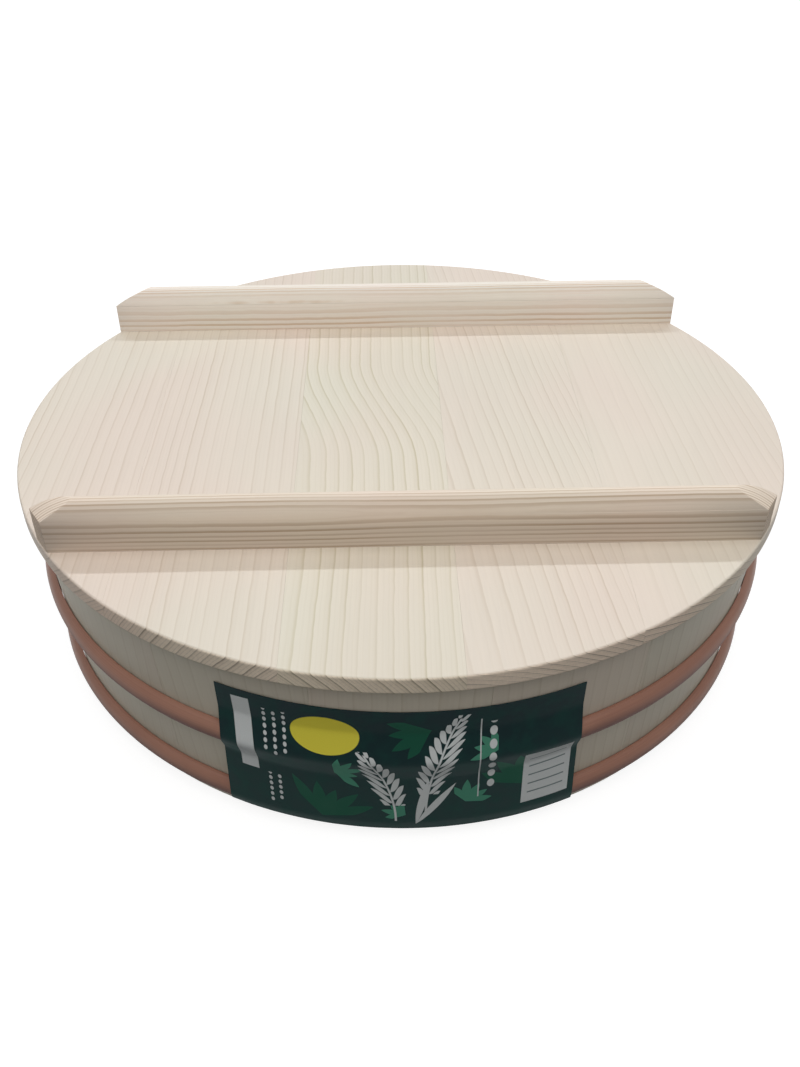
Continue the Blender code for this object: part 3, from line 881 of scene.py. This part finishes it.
def batten_shape(node):
    """A bar cut to the lid's round edge, with the top of both ends sloped."""
    low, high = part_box(node)
    centre = (low.y + high.y) / 2
    bm = bmesh.new()
    start = [bm.verts.new((-LID_RADIUS, centre + across, low.z + up)) for across, up in batten_section()]
    grown = bmesh.ops.extrude_face_region(bm, geom=[bm.faces.new(start)])
    moved = [item for item in grown["geom"] if isinstance(item, bmesh.types.BMVert)]
    bmesh.ops.translate(bm, verts=moved, vec=(2 * LID_RADIUS, 0, 0))
    reach = math.sqrt((LID_RADIUS - BATTEN_INSET) ** 2 - centre ** 2)
    upright = Vector((0, 0, 1))
    line = batten_end_line()
    for side in (-1, 1):
        end = Vector((side * reach, centre, low.z))
        outwards = Vector((end.x, end.y, 0)).normalized()
        saw_off(bm, end, outwards)
        for (inwards, up), (next_inwards, next_up) in zip(line, line[1:]):
            slope = math.atan2(next_up - up, next_inwards - inwards)
            point = end - outwards * inwards + upright * up
            saw_off(bm, point, outwards * math.sin(slope) + upright * math.cos(slope))
    face_out(bm)
    sharp = [
        edge for edge in bm.edges
        if edge.calc_face_angle(0) > BATTEN_SHARP_ANGLE and edge_middle(edge).z > low.z + BATTEN_EDGE
    ]
    bmesh.ops.bevel(bm, geom=sharp, offset=BATTEN_EDGE, segments=BATTEN_EDGE_STEPS, profile=0.5,
                    affect="EDGES")
    return bm


def make_battens():
    # The battens are one wood: the back one's paler colours are painted light, as it stands more brightly
    # lit
    looks = {
        "front": dict(early=display(245, 231, 216), late=display(202, 178, 153), pith=(-0.0183, 0.0185),
                      spacing=0.0013, sway=0.0018, painted_foot_shade=0.24),
        "back": dict(early=display(255, 248, 240), late=display(221, 195, 168), pith=(-0.0503, 0.0195),
                     spacing=0.0009, sway=0.0007, painted_foot_shade=0.08),
    }
    for side, look in looks.items():
        node = f"batten_{side}"
        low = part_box(node)[0]
        material = wood(f"batten_wood_{side}", axis=0, line=0.4, swing=7.0, shake=0.25, end_tone=1.1,
                        unevenness=0.5, **look)

        def grain(point, low=low):
            return point.y - low.y, point.x, point.z - low.z

        mesh = mesh_from(batten_shape(node), f"{node}_fine", grain)
        object_from(f"{node}_fine", mesh, "lid", material, [node])


def make_camera():
    data = bpy.data.cameras.new("photograph_view")
    data.lens = CAMERA_LENS
    data.clip_start = CAMERA_NEAR
    camera = bpy.data.objects.new("photograph_view", data)
    bpy.context.scene.collection.objects.link(camera)
    level = math.cos(CAMERA_ELEVATION)
    height = math.sin(CAMERA_ELEVATION)
    back = Vector((-math.sin(CAMERA_YAW) * level, -math.cos(CAMERA_YAW) * level, height))
    turn = back.to_track_quat("Z", "Y") @ Quaternion((0, 0, 1), CAMERA_ROLL)
    camera.matrix_world = Matrix.LocRotScale(CAMERA_AIM + back * CAMERA_DISTANCE, turn, None)
    bpy.context.scene.camera = camera


def make_lamp(name, place, size, power, colour):
    """Rectangular lamp, turned to the tub."""
    data = bpy.data.lights.new(name, "AREA")
    data.shape = "RECTANGLE"
    data.size, data.size_y = size
    data.energy = power
    data.color = colour
    lamp = bpy.data.objects.new(name, data)
    bpy.context.scene.collection.objects.link(lamp)
    lamp.location = place
    lamp.rotation_mode = "QUATERNION"
    lamp.rotation_quaternion = Vector(place).to_track_quat("Z", "Y")


def seen(tree):
    """1 for rays of the camera, of reflections and through clear things, 0 for scattered light."""
    path = tree.nodes.new("ShaderNodeLightPath")
    total = None
    for ray in ("Is Camera Ray", "Is Glossy Ray", "Is Transmission Ray"):
        if total is None:
            total = path.outputs[ray]
            continue
        larger = tree.nodes.new("ShaderNodeMath")
        larger.operation = "MAXIMUM"
        tree.links.new(total, larger.inputs[0])
        tree.links.new(path.outputs[ray], larger.inputs[1])
        total = larger.outputs[0]
    return total


def scaled(tree, share, low, high):
    """low where the share is 0, high where it is 1."""
    made = tree.nodes.new("ShaderNodeMapRange")
    tree.links.new(share, made.inputs["Value"])
    made.inputs["To Min"].default_value = low
    made.inputs["To Max"].default_value = high
    return made.outputs[0]


def make_world():
    """White behind the object, and a lower even light from all round."""
    world = bpy.data.worlds.new("studio")
    bpy.context.scene.world = world
    world.use_nodes = True
    tree = world.node_tree
    background = tree.nodes["Background"]
    background.inputs["Color"].default_value = (1, 1, 1, 1)
    tree.links.new(scaled(tree, seen(tree), AMBIENT, 1.0), background.inputs["Strength"])


def make_floor():
    """Pale floor that shows white, keeps the shadow and throws little light back."""
    bm = bmesh.new()
    bmesh.ops.create_circle(bm, cap_ends=True, radius=FLOOR_RADIUS, segments=FLOOR_SEGMENTS)
    mesh = bpy.data.meshes.new("floor")
    bm.to_mesh(mesh)
    bm.free()
    floor = bpy.data.objects.new("floor", mesh)
    bpy.context.scene.collection.objects.link(floor)
    material = bpy.data.materials.new("floor_white")
    material.use_nodes = True
    tree = material.node_tree
    tree.nodes.remove(tree.nodes["Principled BSDF"])
    output = tree.nodes["Material Output"]
    shown = seen(tree)
    level = scaled(tree, shown, FLOOR_BOUNCE, FLOOR_WHITE)
    matt = tree.nodes.new("ShaderNodeBsdfDiffuse")
    tree.links.new(level, matt.inputs["Color"])
    place = tree.nodes.new("ShaderNodeTexCoord")
    distance = tree.nodes.new("ShaderNodeVectorMath")
    distance.operation = "LENGTH"
    tree.links.new(place.outputs["Object"], distance.inputs[0])
    fade = tree.nodes.new("ShaderNodeMapRange")
    fade.inputs["From Min"].default_value = FLOOR_FADE_START
    fade.inputs["From Max"].default_value = FLOOR_FADE_END
    fade.inputs["To Min"].default_value = FLOOR_GLOW_NEAR
    fade.inputs["To Max"].default_value = FLOOR_GLOW_FAR
    tree.links.new(distance.outputs["Value"], fade.inputs["Value"])
    strength = tree.nodes.new("ShaderNodeMath")
    strength.operation = "MULTIPLY"
    tree.links.new(fade.outputs[0], strength.inputs[0])
    tree.links.new(shown, strength.inputs[1])
    glow = tree.nodes.new("ShaderNodeEmission")
    tree.links.new(strength.outputs[0], glow.inputs["Strength"])
    both = tree.nodes.new("ShaderNodeAddShader")
    tree.links.new(matt.outputs[0], both.inputs[0])
    tree.links.new(glow.outputs[0], both.inputs[1])
    tree.links.new(both.outputs[0], output.inputs["Surface"])
    mesh.materials.append(material)


make_camera()
make_lamp("key", KEY_PLACE, KEY_SIZE, KEY_POWER, KEY_COLOUR)
make_lamp("panel", PANEL_PLACE, PANEL_SIZE, PANEL_POWER, FILL_COLOUR)
make_world()
make_floor()
make_lid_boards()
make_battens()
make_staves()
make_floor_boards()
strip = hoop_plastic()
for hoop in ("hoop_lower", "hoop_upper"):
    make_hoop(hoop, strip)
make_label()

# Pins, dowels and pegs keep the shape of their solids
pin_material = bamboo()
for node_name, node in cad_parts.items():
    if any(word in node_name for word in ("pin", "dowel", "peg")):
        node.material_slots[0].material = pin_material

bpy.context.scene.view_settings.view_transform = "Standard"
